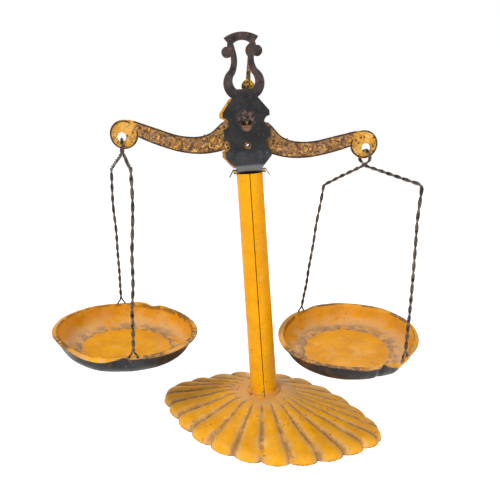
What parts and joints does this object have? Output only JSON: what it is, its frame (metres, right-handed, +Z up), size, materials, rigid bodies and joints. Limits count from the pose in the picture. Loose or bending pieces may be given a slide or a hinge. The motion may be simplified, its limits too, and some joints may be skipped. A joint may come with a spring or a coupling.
{
  "type": "balance scale",
  "caption": "Small tin balance scale: fluted base, leaning column, lyre head, tilting beam, pointer and shallow pans hung on twisted wire bails.",
  "frame": {"origin": "on the floor, straight below the foot of the column", "axes": "+X along the beam to the right, +Y to the back, +Z up"},
  "size_m": [0.1743, 0.0782, 0.1809],
  "materials": {
    "base_paint": "worn yellow enamel with brown grime",
    "column_paint": "yellow enamel",
    "bare_tin": "dull bare tin",
    "black_japan": "chipped black japan",
    "brass_eyelet": "tarnished",
    "beam_print": "worn ochre print over brown",
    "pointer_print": "worn brown and gold",
    "steel": "dark steel",
    "wire": "rusted iron wire",
    "pan_paint": "yellow enamel inside, black outside"
  },
  "bodies": {
    "stand": {"base_shell": "base_paint", "column_tube": "column_paint", "foot_washer": "bare_tin", "front_plate": "black_japan", "back_plate": "black_japan", "plate_spacer": "bare_tin", "plate_eyelet": "brass_eyelet"},
    "beam": {"beam": "beam_print", "knife_edge": "steel", "pointer": "pointer_print", "pointer_rivets": "bare_tin"},
    "left_bail": {"left_bail": "wire"},
    "right_bail": {"right_bail": "wire"},
    "left_pan": {"left_pan": "pan_paint"},
    "right_pan": {"right_pan": "pan_paint"}
  },
  "joints": [
    {"name": "beam_pivot", "type": "hinge", "parent": "stand", "child": "beam", "pos_m": [-0.01377, 0, 0.14377], "axis": [0, 1, 0], "range_deg": [-16.9, 4.1]},
    {"name": "left_bail_swing", "type": "hinge", "parent": "beam", "child": "left_bail", "pos_m": [-0.06771, 0, 0.13585], "axis": [0, 1, 0], "range_deg": [-4.6, 17.4]},
    {"name": "right_bail_swing", "type": "hinge", "parent": "beam", "child": "right_bail", "pos_m": [0.04009, 0, 0.13528], "axis": [0, 1, 0], "range_deg": [-4.6, 17.4]},
    {"name": "left_pan_rock", "type": "hinge", "parent": "left_bail", "child": "left_pan", "pos_m": [-0.06771, 0, 0.04755], "axis": [0.2672, -0.9636, 0], "range_deg": [-7, 7]},
    {"name": "right_pan_rock", "type": "hinge", "parent": "right_bail", "child": "right_pan", "pos_m": [0.04009, 0, 0.04698], "axis": [0.5948, -0.8039, 0], "range_deg": [-7, 7]}
  ],
  "couplings": [
    {"joint": "left_bail_swing", "follows": "beam_pivot", "ratio": -1},
    {"joint": "right_bail_swing", "follows": "beam_pivot", "ratio": -1}
  ]
}
